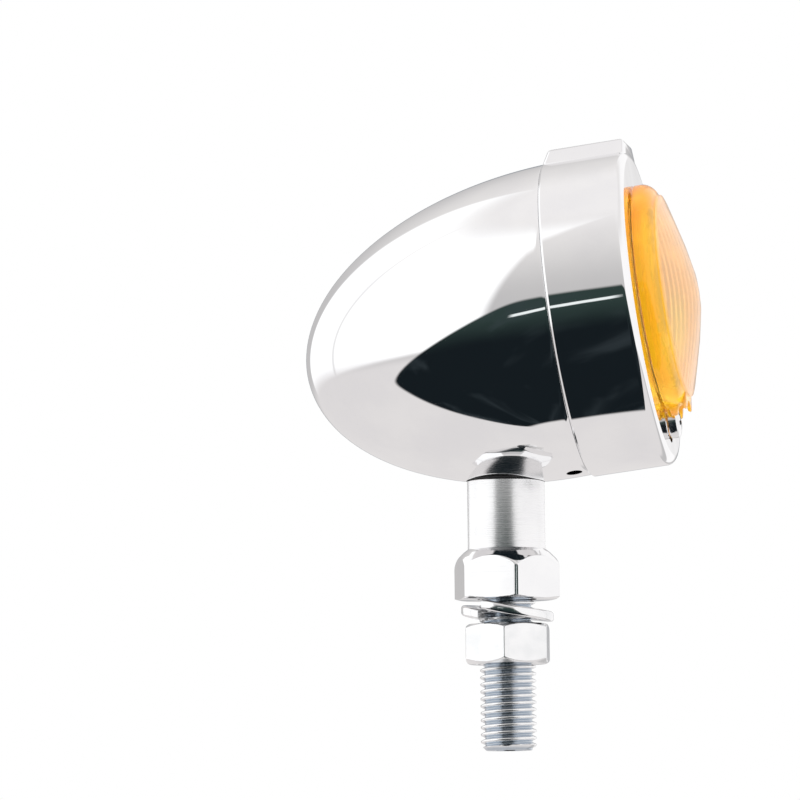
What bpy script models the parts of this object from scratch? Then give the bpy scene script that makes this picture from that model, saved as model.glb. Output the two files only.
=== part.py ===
"""Bullet turn signal for a motorcycle, with its bulb, its socket and its hollow mounting stud.

The stem stands along +Z. The origin is the centre of the collar's seating face. The head points
along +X and is tilted up. Head parts are drawn in the head frame: its Z is the head's axis, with
the seam between rear shell and barrel at 0, its X points down and its Y points to the side.
"""

import math

import bmesh
import bpy
from mathutils import Matrix, Vector

mm = 0.001
gap = 0.3 * mm

# Head
head_tilt = math.radians(7.3)
seam_x = 11.6 * mm
seam_z = 49.1 * mm
shell_radius = 27.6 * mm
shell_length = 47.5 * mm
shell_droop = 0.0535
shell_wall = 1.4 * mm
barrel_radius = 28.0 * mm
barrel_length = 14.9 * mm
barrel_wall = 1.7 * mm
face_wall = 2.0 * mm
rim_roll = 1.2 * mm
spigot_radius = 26.0 * mm
spigot_reach = 2.5 * mm
pad_width = 12.0 * mm
pad_height = 1.45 * mm
drain_radius = 1.4 * mm
lug_width = 7.0 * mm
lug_radius = 20.4 * mm
shell_screw_offset = 22.8 * mm

# Lens and reflector, on an axis a little above the head's own
lens_rise = 1.25 * mm
lens_radius = 20.2 * mm
lens_depth = 8.2 * mm
lens_wall = 1.8 * mm
lens_window = 16.5 * mm
ear_drop = 22.0 * mm
ear_radius = 3.2 * mm
ear_thickness = 0.7 * mm
pocket_depth = 1.2 * mm
ear_join = 0.02 * mm
screw_head_radius = 2.9 * mm
screw_head_height = 2.1 * mm
reflector_rim = 24.0 * mm
reflector_neck = 9.6 * mm
reflector_screw_ring = 21.5 * mm

# Bulb and socket
bulb_turn = math.radians(20)
bulb_push = 2.0 * mm
cap_radius = 7.5 * mm
cap_front = -2.0 * mm
cap_back = -17.0 * mm
pin_station = -9.5 * mm
pin_radius = 1.0 * mm
pin_reach = 8.35 * mm
glass_radius = 9.2 * mm
glass_centre = 7.3 * mm
glass_neck = 6.5 * mm
socket_inner = 7.8 * mm
socket_outer = 8.6 * mm
flange_radius = 12.6 * mm
flange_wall = 0.8 * mm
bowl_floor = -1.6 * mm
rivet_ring = 10.9 * mm
tip_reach = 1.2 * mm
contact_head = 1.2 * mm
insulator_height = 2.0 * mm
spring_wire = 0.35 * mm
socket_back = -30.2 * mm

# Stem and mounting
stem_radius = 6.8 * mm
stem_top = 20.95 * mm
seat_level = 21.75 * mm
seat_radius = 7.3 * mm
collar_flats = 17.0 * mm
collar_height = 8.8 * mm
collar_slope = 0.78
collar_turn = math.radians(20.9)
stud_radius = 4.9 * mm
stud_bore = 2.2 * mm
stud_end = -26.5 * mm
stud_washer_thickness = 1.4 * mm
stud_head_flats = 13.0 * mm
stud_head_height = 4.5 * mm
boss_radius = 8.7 * mm
boss_top = 23.6 * mm
washer_radius = 8.1 * mm
washer_bore = 5.2 * mm
washer_thickness = 1.8 * mm
washer_rise = 1.9 * mm
washer_lean = (-0.15, 0.05)
washer_drop = 0.45 * mm
nut_flats = 14.2 * mm
nut_height = 7.0 * mm
nut_top = -4.35 * mm
nut_turn = math.radians(4.1)


def clear_scene():
    for old in list(bpy.data.objects):
        bpy.data.objects.remove(old, do_unlink=True)


def new_collection(name):
    group = bpy.data.collections.new(name)
    bpy.context.scene.collection.children.link(group)
    return group


def finish(name, colour, roughness, metallic, transmission=0.0):
    material = bpy.data.materials.new(name)
    material.use_nodes = True
    shader = material.node_tree.nodes["Principled BSDF"]
    shader.inputs["Base Color"].default_value = (*colour, 1)
    shader.inputs["Roughness"].default_value = roughness
    shader.inputs["Metallic"].default_value = metallic
    shader.inputs["Transmission Weight"].default_value = transmission
    return material


def place(obj, group, parent=None, material=None):
    group.objects.link(obj)
    obj.parent = parent
    if material:
        obj.data.materials.append(material)
        obj.data.shade_smooth()
        obj.data.set_sharp_from_angle(angle=math.radians(35))
    else:
        obj.hide_render = True
        obj.display_type = "WIRE"
    return obj


def empty(name, parent=None, location=(0, 0, 0), rotation=(0, 0, 0)):
    frame = bpy.data.objects.new(name, None)
    parts.objects.link(frame)
    frame.empty_display_size = 5 * mm
    frame.parent = parent
    frame.location = location
    frame.rotation_euler = rotation
    return frame


def object_from(name, shape):
    bmesh.ops.remove_doubles(shape, verts=shape.verts, dist=1e-6)
    bmesh.ops.recalc_face_normals(shape, faces=shape.faces)
    mesh = bpy.data.meshes.new(name)
    shape.to_mesh(mesh)
    shape.free()
    return bpy.data.objects.new(name, mesh)


def turned(name, profile, steps=32):
    """A profile of (radius, height) points turned about Z. One that stays off the axis is a closed ring."""
    points = list(profile)
    following = points[1:] + points[:1]
    area = sum(a[0] * b[1] - b[0] * a[1] for a, b in zip(points, following))
    if area > 0:
        points.reverse()
    edges = [(i, i + 1) for i in range(len(points) - 1)]
    if all(radius > 0 for radius, _ in points):
        edges.append((len(points) - 1, 0))
    mesh = bpy.data.meshes.new(name)
    mesh.from_pydata([(radius, 0, height) for radius, height in points], edges, [])
    obj = bpy.data.objects.new(name, mesh)
    turning = obj.modifiers.new("turning", "SCREW")
    turning.steps = steps
    turning.render_steps = steps
    turning.use_merge_vertices = True
    turning.merge_threshold = 1e-6
    return obj


def applied(obj):
    """The same object with its modifiers applied, for a shape whose points are moved afterwards."""
    bpy.context.scene.collection.objects.link(obj)
    graph = bpy.context.evaluated_depsgraph_get()
    mesh = bpy.data.meshes.new_from_object(obj.evaluated_get(graph))
    bpy.context.scene.collection.objects.unlink(obj)
    obj.modifiers.clear()
    obj.data = mesh
    return obj


def cylinder(name, radius, low, high, sides=24, centre=(0, 0), turn=0.0):
    """A round or, with few sides, a polygonal bar along Z."""
    shape = bmesh.new()
    bmesh.ops.create_cone(
        shape, cap_ends=True, segments=sides, radius1=radius, radius2=radius, depth=high - low,
        matrix=Matrix.Translation((*centre, (low + high) / 2)) @ Matrix.Rotation(turn, 4, "Z"),
    )
    return object_from(name, shape)


def block(name, low, high, turn=0.0):
    """A box between two corners, turned about Z."""
    low, high = Vector(low), Vector(high)
    shape = bmesh.new()
    bmesh.ops.create_cube(
        shape, size=1, matrix=Matrix.Rotation(turn, 4, "Z")
        @ Matrix.Translation((low + high) / 2) @ Matrix.Diagonal((*(high - low), 1)),
    )
    return object_from(name, shape)


def boolean(obj, cutter, operation="DIFFERENCE"):
    step = obj.modifiers.new(f"{operation.lower()}_{cutter.name}", "BOOLEAN")
    step.operation = operation
    step.object = cutter
    return obj


def cut(obj, cutter, parent=None):
    place(cutter, cutters, parent)
    return boolean(obj, cutter)


def join(obj, helper, parent=None):
    place(helper, cutters, parent)
    return boolean(obj, helper, "UNION")


def keep(obj, helper, parent=None):
    place(helper, cutters, parent)
    return boolean(obj, helper, "INTERSECT")


def hexagon_radius(flats):
    return flats / 2 / math.cos(math.pi / 6)


def arc(centre, radius, start, end, count):
    """Points (radius, height) of an arc, with angles in degrees from the outward direction."""
    turns = [math.radians(start + (end - start) * i / (count - 1)) for i in range(count)]
    return [(centre[0] + radius * math.cos(t), centre[1] + radius * math.sin(t)) for t in turns]


def bullet(name, inset, front, rows=9, steps=36):
    """The bullet form, as a solid: half an ellipsoid behind the seam, whose centreline droops."""
    turns = [math.radians(90 * i / rows) for i in range(rows + 1)]
    curve = [
        ((shell_radius - inset) * math.cos(t), -(shell_length - inset) * math.sin(t)) for t in turns
    ]
    curve[-1] = (0, curve[-1][1])
    obj = applied(turned(name, [(0, front[-1][1]), *reversed(front), *curve[1:]], steps))
    for vertex in obj.data.vertices:
        vertex.co.x -= shell_droop * min(vertex.co.z, 0)
    return obj


def make_rear_shell():
    edge = -gap / 2
    outer = bullet(
        "rear_shell", 0,
        [(shell_radius, edge), (spigot_radius, edge), (spigot_radius, spigot_reach)],
    )
    inside = spigot_radius - 0.9 * mm
    cavity = bullet("rear_cavity", shell_wall, [(inside, -0.5 * mm), (inside, 2 * spigot_reach)])
    place(cavity, cutters, head_axis)
    cut(cavity, cylinder("seat_boss", boss_radius, 0, boss_top, 32))
    for side in (1, -1):
        lug = block(
            f"shell_lug_{side}", (-lug_width / 2, lug_radius, -6 * mm),
            (lug_width / 2, shell_radius + mm, -0.5 * mm), math.radians(90 - 90 * side),
        )
        cut(cavity, lug, head_axis)
    boolean(outer, cavity)
    cut(outer, cylinder("seat_recess", seat_radius, stem_top - 5 * mm, seat_level, 36))
    cut(outer, cylinder("stud_hole", stud_radius + gap, stem_top, boss_top + mm, 28))
    for side in (1, -1):
        cut(outer, cylinder(
            f"shell_tap_{side}", 1.3 * mm, -5 * mm, mm, 16, (0, side * shell_screw_offset)), head_axis)
    drain = cylinder("drain_cutter", drain_radius, 20 * mm, 30 * mm, 16)
    drain.data.transform(Matrix.Translation((0, 0, -2.3 * mm)) @ Matrix.Rotation(math.radians(-9), 4, "Z")
                         @ Matrix.Rotation(math.radians(90), 4, "Y"))
    cut(outer, drain, head_axis)
    return place(outer, parts, head_axis, chrome)


def make_front_bezel():
    """The barrel and its flat front face are one casting, with a raised pad along the top."""
    start = gap / 2
    outline = [
        (0, barrel_length),
        *arc((barrel_radius - rim_roll, barrel_length - rim_roll), rim_roll, 90, 0, 6),
        (barrel_radius, start + 0.7 * mm), (shell_radius, start), (0, start),
    ]
    bezel = turned("front_bezel", outline, 48)
    pad = block(
        "pad_block", (-barrel_radius - pad_height, -pad_width / 2, start),
        (-barrel_radius + 4 * mm, pad_width / 2, barrel_length - 0.05 * mm),
    )
    for vertex in pad.data.vertices:
        if vertex.co.x < -barrel_radius and vertex.co.z < mm:
            vertex.co.z += pad_height
    rounding = pad.modifiers.new("edge", "BEVEL")
    rounding.width = 0.4 * mm
    rounding.segments = 2
    join(bezel, pad, head_axis)
    inner = barrel_radius - barrel_wall
    hollow = cylinder("bezel_cavity", inner, -5 * mm, barrel_length - face_wall, 48)
    place(hollow, cutters, head_axis)
    for side in (1, -1):
        lug = block(
            f"bezel_lug_{side}", (-lug_width / 2, lug_radius, spigot_reach + gap),
            (lug_width / 2, barrel_radius, spigot_reach + 3 * mm), math.radians(90 - 90 * side),
        )
        cut(hollow, lug, head_axis)
        cut(bezel, cylinder(
            f"bezel_clearance_{side}", 1.7 * mm, mm, 8 * mm, 16, (0, side * shell_screw_offset)), head_axis)
    boolean(bezel, hollow)
    cut(bezel, cylinder(
        "window_cutter", lens_window, barrel_length / 2, barrel_length + 5 * mm, 48), lens_axis)
    cut(bezel, cylinder(
        "lens_tap", 1.6 * mm, barrel_length / 2, barrel_length + mm, 16, (ear_drop, 0)), lens_axis)
    floor = barrel_length - pocket_depth
    cut(bezel, cylinder(
        "ear_pocket", ear_radius + gap, floor, barrel_length + mm, 24, (ear_drop, 0)), lens_axis)
    cut(bezel, block("ear_slot", (lens_radius - 1.7 * mm - gap, -ear_radius - gap, floor),
                     (ear_drop, ear_radius + gap, barrel_length + 1.1 * mm)), lens_axis)
    for number, (x, y) in enumerate(reflector_screw_places()):
        cut(bezel, cylinder(
            f"reflector_tap_{number}", 1.15 * mm, barrel_length - face_wall - mm,
            barrel_length - 0.6 * mm, 12, (x, y)), lens_axis)
    return place(bezel, parts, head_axis, chrome)


def make_lens():
    """A rounded rim band, a step and a shallow cone, with a screw ear in a notch at the bottom."""
    base = barrel_length + gap
    face = [(17.9, 4.15), (14.0, 5.35), (9.0, 6.75), (4.0, 7.85), (1.2, 8.18)]
    band = arc((17.5 * mm, base + 0.9 * mm), 2.7 * mm, -5, 72, 6)
    outside = [(lens_radius, base), *band, (17.9 * mm, base + 3.75 * mm)]
    outside += [(radius * mm, base + height * mm) for radius, height in face]
    outside.append((0, base + lens_depth))
    inside = [(radius * mm - 0.6 * mm, base + height * mm - lens_wall) for radius, height in face[:-1]]
    inside = [(lens_radius - lens_wall, base), *inside, (0, base + lens_depth - lens_wall)]
    lens = turned("signal_lens", [*reversed(outside), *inside], 40)
    ear_low = barrel_length - pocket_depth + gap
    ear_top = ear_low + ear_thickness
    ear = cylinder("lens_ear", ear_radius, ear_low, ear_top, 24, (ear_drop, 0))
    neck = block("lens_neck", (lens_radius - 1.7 * mm, -ear_radius, ear_low - ear_join),
                 (ear_drop, ear_radius, ear_top + ear_join))
    riser = block("lens_riser", (lens_radius - 1.7 * mm, -ear_radius + ear_join, ear_low + ear_join),
                  (lens_radius - 0.1 * mm, ear_radius - ear_join, base + 0.5 * mm))
    join(lens, riser, lens_axis)
    join(lens, neck, lens_axis)
    join(lens, ear, lens_axis)
    cut(lens, cylinder("lens_notch", screw_head_radius + 0.4 * mm, ear_top, base + 12 * mm, 24,
                       (ear_drop, 0)), lens_axis)
    cut(lens, cylinder("ear_hole", 1.8 * mm, ear_low - mm, base + 3 * mm, 16, (ear_drop, 0)), lens_axis)
    return place(lens, parts, lens_axis, amber)


def make_lens_gasket():
    """A pale silicone ring that seals the reflector's front edge against the lens, inside the lens wall."""
    low = barrel_length + gap
    profile = [(17.9 * mm, low), (17.9 * mm, low + 0.8 * mm), (17.0 * mm, low + 0.8 * mm), (17.0 * mm, low)]
    return place(turned("lens_gasket", list(reversed(profile)), 30), parts, lens_axis, seal)


def pan_screw(name, head_radius, head_height, head_low, shank_radius, shank_low, centre, sides=20):
    """A pan-head screw along +Z whose head sits on the level head_low."""
    top = head_low + head_height
    profile = [
        (0, top), (0.55 * head_radius, top - 0.02 * head_height),
        (0.85 * head_radius, top - 0.2 * head_height), (head_radius, top - 0.55 * head_height),
        (head_radius, head_low), (shank_radius, head_low), (shank_radius, shank_low), (0, shank_low),
    ]
    screw = turned(name, profile, sides)
    screw.location = (*centre, 0)
    return screw


def make_lens_screw():
    low = barrel_length - pocket_depth + gap + ear_thickness + gap
    screw = pan_screw(
        "lens_screw", screw_head_radius, screw_head_height, low, 1.3 * mm, 11 * mm, (ear_drop, 0))
    depth = low + screw_head_height
    for number, turn in enumerate((0, 90)):
        cross = block(f"driver_cross_{number}", (-1.5 * mm, -0.4 * mm, depth - 1.2 * mm),
                      (1.5 * mm, 0.4 * mm, depth + mm), math.radians(turn))
        cross.data.transform(Matrix.Translation((ear_drop, 0, 0)))
        cut(screw, cross, lens_axis)
    return place(screw, parts, lens_axis, zinc)


def reflector_screw_places():
    turns = [math.radians(angle) for angle in (60, 180, 300)]
    return [(reflector_screw_ring * math.cos(t), reflector_screw_ring * math.sin(t)) for t in turns]


def make_reflector():
    """A bright bowl with a flange behind the front face and a neck that the bulb passes."""
    rim_low = barrel_length - face_wall - gap - flange_wall
    wall = 0.7 * mm
    rows = [i / 5 for i in range(6)]
    bowl = [
        (reflector_neck + 6.4 * mm * math.sqrt(row), bowl_floor + (rim_low - bowl_floor) * row)
        for row in rows
    ]
    outer = [(radius + wall, height) for radius, height in reversed(bowl)]
    profile = [(reflector_rim, rim_low + flange_wall), (reflector_rim, rim_low), *outer,
               *bowl[:-1], (bowl[-1][0] - 0.2 * mm, rim_low + flange_wall)]
    plate = turned("reflector", profile, 30)
    for number, (x, y) in enumerate(reflector_screw_places()):
        cut(plate, cylinder(
            f"reflector_hole_{number}", 1.25 * mm, rim_low - mm, rim_low + 2 * mm, 12, (x, y)), lens_axis)
    for turn in (-90, 0, 180):
        relief = block(f"reflector_relief_{turn}", (-5 * mm, 19.2 * mm, rim_low - mm),
                       (5 * mm, 30 * mm, rim_low + 2 * mm), math.radians(turn))
        cut(plate, relief, lens_axis)
    return place(plate, parts, lens_axis, bright)


def make_reflector_screws():
    flange_back = barrel_length - face_wall - gap - flange_wall
    for number, (x, y) in enumerate(reflector_screw_places(), 1):
        name = f"reflector_screw_{number}"
        screw = pan_screw(name, 1.9 * mm, 1.3 * mm, 0, 0.9 * mm, -2.4 * mm, (0, 0), 14)
        screw.location = (x, y, flange_back - gap)
        screw.rotation_euler = (math.pi, 0, 0)
        place(screw, parts, lens_axis, zinc)


def make_shell_screws():
    seat = spigot_reach + 3 * mm + gap
    for number, side in enumerate((1, -1), 1):
        centre = (0, side * shell_screw_offset)
        screw = pan_screw(f"shell_screw_{number}", 2.6 * mm, 1.7 * mm, seat, 1.0 * mm, -4.6 * mm, centre, 16)
        place(screw, parts, head_axis, zinc)


def make_socket():
    """A tube with a flange in front, a holed end and two L-shaped ways for the bulb's pins."""
    wall = socket_outer - socket_inner
    flange_front = bowl_floor - gap
    flange_back = flange_front - flange_wall
    profile = [
        (flange_radius, flange_front), (flange_radius, flange_back),
        (socket_outer, flange_back), (socket_outer, socket_back), (2.0 * mm, socket_back),
        (2.0 * mm, socket_back + wall), (socket_inner, socket_back + wall), (socket_inner, flange_front),
    ]
    socket = turned("socket_shell", profile, 32)
    for side in (0, math.pi):
        way = bulb_turn / 2 + side
        cut(socket, block(f"pin_window_{side:.0f}", (-2.9 * mm, 6 * mm, pin_station - bulb_push - 1.3 * mm),
                          (2.9 * mm, 10 * mm, pin_station + 1.3 * mm), way))
        cut(socket, block(f"pin_entry_{side:.0f}", (-1.3 * mm, 6 * mm, pin_station),
                          (1.3 * mm, 9.3 * mm, 0), bulb_turn + side))
        hole = cylinder(f"rivet_hole_{side:.0f}", 0.95 * mm, flange_front - 2 * mm, flange_front + mm, 12,
                        (rivet_ring * math.cos(side), rivet_ring * math.sin(side)))
        cut(socket, hole)
    for modifier in socket.modifiers:
        if modifier.type == "BOOLEAN":
            modifier.object.parent = lens_axis
    return place(socket, parts, lens_axis, zinc)


def make_socket_rivets(reflector):
    """Two rivets that hold the socket's flange and the earth tab to the reflector's neck."""
    back = bowl_floor - gap - flange_wall
    for number, side in enumerate((0, math.pi), 1):
        centre = (rivet_ring * math.cos(side), rivet_ring * math.sin(side))
        low = back - gap - (0.9 * mm if side == 0 else 0)
        profile = [(0, 0.4 * mm), (0.7 * mm, 0.4 * mm), (0.7 * mm, low), (1.5 * mm, low),
                   (1.3 * mm, low - 0.6 * mm), (0, low - 0.8 * mm)]
        rivet = turned(f"socket_rivet_{number}", profile, 12)
        rivet.location = (*centre, 0)
        place(rivet, parts, lens_axis, brass)
        cut(reflector, cylinder(f"rivet_seat_{side:.0f}", 1.0 * mm, -3 * mm, 3 * mm, 12, centre), lens_axis)


def make_earth_tab():
    """A thin blade under the lower rivet that carries the earth lead's terminal."""
    front = bowl_floor - gap - flange_wall - gap
    tab = block("earth_tab", (9.2 * mm, -2.4 * mm, front - 0.5 * mm), (19.5 * mm, 2.4 * mm, front))
    cut(tab, cylinder("earth_hole", mm, front - 2 * mm, front + mm, 12, (rivet_ring, 0)), lens_axis)
    return place(tab, parts, lens_axis, brass)


def make_contact():
    """The sprung centre contact, whose tail passes the socket's end and carries the feed blade."""
    top = cap_back - tip_reach - gap
    profile = [(0, top), (3.0 * mm, top), (3.2 * mm, top - 0.4 * mm), (3.2 * mm, top - contact_head),
               (1.3 * mm, top - contact_head), (1.3 * mm, socket_back - bulb_push),
               (0, socket_back - bulb_push)]
    return place(turned("contact_pin", profile, 20), parts, plunger_frame, brass)


def make_insulator():
    top = cap_back - tip_reach - contact_head - 2 * gap
    low = top - insulator_height
    profile = [(7.4 * mm, top), (7.4 * mm, low), (1.6 * mm, low), (1.6 * mm, top)]
    return place(turned("socket_insulator", profile, 28), parts, plunger_frame, black)


def make_feed_terminal():
    back = socket_back - bulb_push - gap
    blade = block("feed_terminal", (-2.4 * mm, -0.4 * mm, back - 6 * mm), (2.4 * mm, 0.4 * mm, back))
    return place(blade, parts, plunger_frame, brass)


def make_spring():
    """A coil between the insulator and the socket's end. It shortens when the bulb is pushed in."""
    high = cap_back - tip_reach - contact_head - insulator_height - 3 * gap - spring_wire
    low = socket_back + socket_outer - socket_inner + gap + spring_wire
    turns = 4
    each = 8
    curve = bpy.data.curves.new("contact_spring", "CURVE")
    curve.dimensions = "3D"
    curve.bevel_depth = spring_wire
    curve.bevel_resolution = 2
    curve.use_fill_caps = True
    line = curve.splines.new("POLY")
    line.points.add(turns * each)
    for i, point in enumerate(line.points):
        t = 2 * math.pi * i / each
        point.co = (4 * mm * math.cos(t), 4 * mm * math.sin(t), low + (high - low) * i / (turns * each), 1)
    spring = bpy.data.objects.new("contact_spring", curve)
    parts.objects.link(spring)
    spring.parent = lens_axis
    curve.materials.append(steel)
    return spring


def make_bulb():
    profile = [
        (cap_radius, cap_front), (cap_radius, cap_back + mm), (cap_radius - mm, cap_back),
        (3.4 * mm, cap_back), (3.4 * mm, cap_back + 0.6 * mm), (cap_radius - 0.6 * mm, cap_back + 0.6 * mm),
        (cap_radius - 0.6 * mm, cap_front),
    ]
    place(turned("bulb_base", profile, 28), parts, bulb_frame, brass)
    for number, side in enumerate((1, -1), 1):
        pin = cylinder(f"bulb_pin_{number}", pin_radius, cap_radius + 0.1 * mm, pin_reach, 12)
        pin.location = (0, 0, pin_station)
        pin.rotation_euler = (-side * math.pi / 2, 0, 0)
        place(pin, parts, bulb_frame, brass)
    place(cylinder("bulb_insulator", 3.1 * mm, cap_back, cap_back + 0.6 * mm, 20), parts, bulb_frame, black)
    tip = turned("bulb_tip", [(0, cap_back - tip_reach), (2 * mm, cap_back - mm),
                              (2.3 * mm, cap_back - gap), (0, cap_back - gap)], 20)
    place(tip, parts, bulb_frame, steel)
    make_bulb_glass()
    stem = turned("bulb_stem", [(0, 2 * mm), (1.6 * mm, 1.4 * mm), (2 * mm, -3 * mm), (3.2 * mm, -9 * mm),
                                (0, -9 * mm)], 16)
    place(stem, parts, bulb_frame, glass)
    make_filament()


def make_bulb_glass():
    """An envelope with a round top on a narrower neck, open at its foot inside the cap."""
    wall = 0.5 * mm
    low = -6 * mm

    def side(inset):
        radius = glass_radius - inset
        neck = glass_neck - inset
        foot = math.pi - math.asin(neck / radius)
        turns = [foot * i / 7 for i in range(8)]
        rounded = [(radius * math.sin(t), glass_centre + radius * math.cos(t)) for t in turns]
        rounded[0] = (0, glass_centre + radius)
        return [*rounded, (neck, low)]

    outer = side(0)
    inner = side(wall)
    place(turned("bulb_glass", [*outer, *reversed(inner)], 20), parts, bulb_frame, glass)


def make_filament():
    for number, side in enumerate((1, -1), 1):
        wire = cylinder(
            f"filament_support_{number}", 0.25 * mm, 2.4 * mm, 7 * mm, 8, (0, side * 2.2 * mm))
        for vertex in wire.data.vertices:
            if vertex.co.z < 4 * mm:
                vertex.co.y -= side * mm
        place(wire, parts, bulb_frame, steel)
    curve = bpy.data.curves.new("filament", "CURVE")
    curve.dimensions = "3D"
    curve.bevel_depth = 0.12 * mm
    curve.bevel_resolution = 2
    curve.use_fill_caps = True
    line = curve.splines.new("POLY")
    count = 24
    line.points.add(count)
    for i, point in enumerate(line.points):
        t = 2 * math.pi * i / 6
        along = -2.1 * mm + 4.2 * mm * i / count
        point.co = (0.5 * mm * math.cos(t), along, 7.9 * mm + 0.5 * mm * math.sin(t), 1)
    coil = bpy.data.objects.new("filament", curve)
    parts.objects.link(coil)
    coil.parent = bulb_frame
    curve.materials.append(steel)


def make_stud():
    """The hollow bolt: a hexagon head inside the shell, and a shank through the stem and out below."""
    head_low = boss_top + stud_washer_thickness + 2 * gap
    head_high = head_low + stud_head_height
    stud = cylinder("hollow_stud", hexagon_radius(stud_head_flats), head_low, head_high, 6)
    shank = turned("stud_shank", [
        (0, head_low + mm), (stud_radius, head_low + mm), (stud_radius, stud_end + 0.7 * mm),
        (stud_radius - 0.7 * mm, stud_end), (0, stud_end),
    ], 28)
    join(stud, shank)
    cut(stud, cylinder("stud_bore", stud_bore, stud_end - mm, head_high + mm, 20))
    return place(stud, parts, None, zinc)


def make_stud_washer():
    low = boss_top + gap
    top = low + stud_washer_thickness
    profile = [(8.2 * mm, top), (8.2 * mm, low), (washer_bore, low), (washer_bore, top)]
    return place(turned("stud_washer", profile, 28), parts, None, zinc)


def make_grommet():
    """A rubber bush in the head of the hollow bolt, which keeps the leads off its edge."""
    top = boss_top + stud_washer_thickness + stud_head_height + 3 * gap
    profile = [(3.4 * mm, top + mm), (3.4 * mm, top), (1.95 * mm, top), (1.95 * mm, top - 3 * mm),
               (1.3 * mm, top - 3 * mm), (1.3 * mm, top + mm)]
    return place(turned("wire_grommet", profile, 20), parts, None, rubber)


def make_stem():
    """A turned stem that widens by a cone into a hexagon collar."""
    stem = cylinder("stem_sleeve", hexagon_radius(collar_flats), 0, stem_top, 6, turn=collar_turn)
    widest = hexagon_radius(collar_flats) + 0.2 * mm
    shoulder = collar_height - (widest - stem_radius) / collar_slope
    outline = [(0, stem_top), (stem_radius - 0.3 * mm, stem_top), (stem_radius, stem_top - 0.3 * mm),
               (stem_radius, collar_height), (widest, shoulder), (widest, -mm), (0, -mm)]
    keep(stem, turned("stem_outline", outline, 40))
    cut(stem, cylinder("stem_bore", stud_radius + gap, -2 * mm, stem_top + mm, 28))
    return place(stem, parts, None, chrome)


def make_gasket():
    low = stem_top + 0.2 * mm
    high = seat_level - 0.2 * mm
    profile = [(stem_radius + 0.1 * mm, high), (stem_radius + 0.1 * mm, low),
               (washer_bore + 0.1 * mm, low), (washer_bore + 0.1 * mm, high)]
    return place(turned("stem_gasket", profile, 36), parts, swivel_frame, rubber)


def make_lock_washer():
    """A split spring washer, a little askew, whose cut ends stand apart by about its thickness."""
    each = 36
    start = math.radians(-119)
    opening = math.radians(5)
    shape = bmesh.new()
    rows = []
    for i in range(each + 1):
        part = i / each
        t = start + opening / 2 + (2 * math.pi - opening) * part
        level = -washer_drop - washer_rise * part
        ring = []
        for radius, low in ((washer_radius, 0), (washer_radius, washer_thickness),
                            (washer_bore, washer_thickness), (washer_bore, 0)):
            x = radius * math.cos(t)
            y = radius * math.sin(t)
            lean = washer_lean[0] * x + washer_lean[1] * y
            ring.append(shape.verts.new((x, y, level + lean - low)))
        rows.append(ring)
    for first, second in zip(rows, rows[1:]):
        for k in range(4):
            shape.faces.new((first[k], first[(k + 1) % 4], second[(k + 1) % 4], second[k]))
    shape.faces.new(rows[0])
    shape.faces.new(rows[-1])
    return place(object_from("lock_washer", shape), parts, washer_frame, zinc)


def make_nut():
    radius = hexagon_radius(nut_flats)
    nut = cylinder("mounting_nut", radius, nut_top - nut_height, nut_top, 6, turn=nut_turn)
    edge = nut_flats / 2 - 0.3 * mm
    drop = (radius - edge) * math.tan(math.radians(30)) + 0.15 * mm
    outline = [(0, nut_top), (edge, nut_top), (radius + 0.3 * mm, nut_top - drop),
               (radius + 0.3 * mm, nut_top - nut_height + drop), (edge, nut_top - nut_height),
               (0, nut_top - nut_height)]
    keep(nut, turned("nut_outline", outline, 36))
    cut(nut, cylinder("nut_bore", stud_radius + 0.2 * mm, nut_top - nut_height - mm, nut_top + mm, 28))
    return place(nut, parts, nut_frame, zinc)


clear_scene()
parts = new_collection("turn_signal_indicator")
cutters = new_collection("cutters")

chrome = finish("chrome", (0.86, 0.86, 0.87), 0.06, 1)
zinc = finish("zinc_plate", (0.74, 0.75, 0.76), 0.28, 1)
steel = finish("steel_wire", (0.6, 0.6, 0.6), 0.3, 1)
brass = finish("brass", (0.78, 0.6, 0.28), 0.3, 1)
bright = finish("bright_reflector", (0.9, 0.9, 0.9), 0.12, 1)
amber = finish("amber_lens", (0.98, 0.42, 0.02), 0.08, 0, 0.7)
glass = finish("bulb_glass", (1, 1, 1), 0.02, 0, 1)
rubber = finish("black_rubber", (0.02, 0.02, 0.02), 0.7, 0)
seal = finish("pale_seal", (0.85, 0.82, 0.76), 0.5, 0)
black = finish("black_plastic", (0.03, 0.03, 0.03), 0.45, 0)

swivel_frame = empty("swivel_frame")
head_axis = empty("head_axis", swivel_frame, (seam_x, 0, seam_z), (0, math.pi / 2 - head_tilt, 0))
lens_axis = empty("lens_axis", head_axis, (-lens_rise, 0, 0))
plunger_frame = empty("plunger_frame", lens_axis)
bulb_frame = empty("bulb_frame", plunger_frame)
washer_frame = empty("washer_frame")
nut_frame = empty("nut_frame", washer_frame)

make_rear_shell()
make_front_bezel()
make_lens()
make_lens_gasket()
make_lens_screw()
reflector_plate = make_reflector()
make_reflector_screws()
make_shell_screws()
make_socket()
make_socket_rivets(reflector_plate)
make_earth_tab()
make_contact()
make_insulator()
make_feed_terminal()
make_spring()
make_bulb()
make_stud()
make_stud_washer()
make_grommet()
make_stem()
make_gasket()
make_lock_washer()
make_nut()
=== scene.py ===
import math

import bmesh
import bpy
from mathutils import Matrix, Vector


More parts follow.
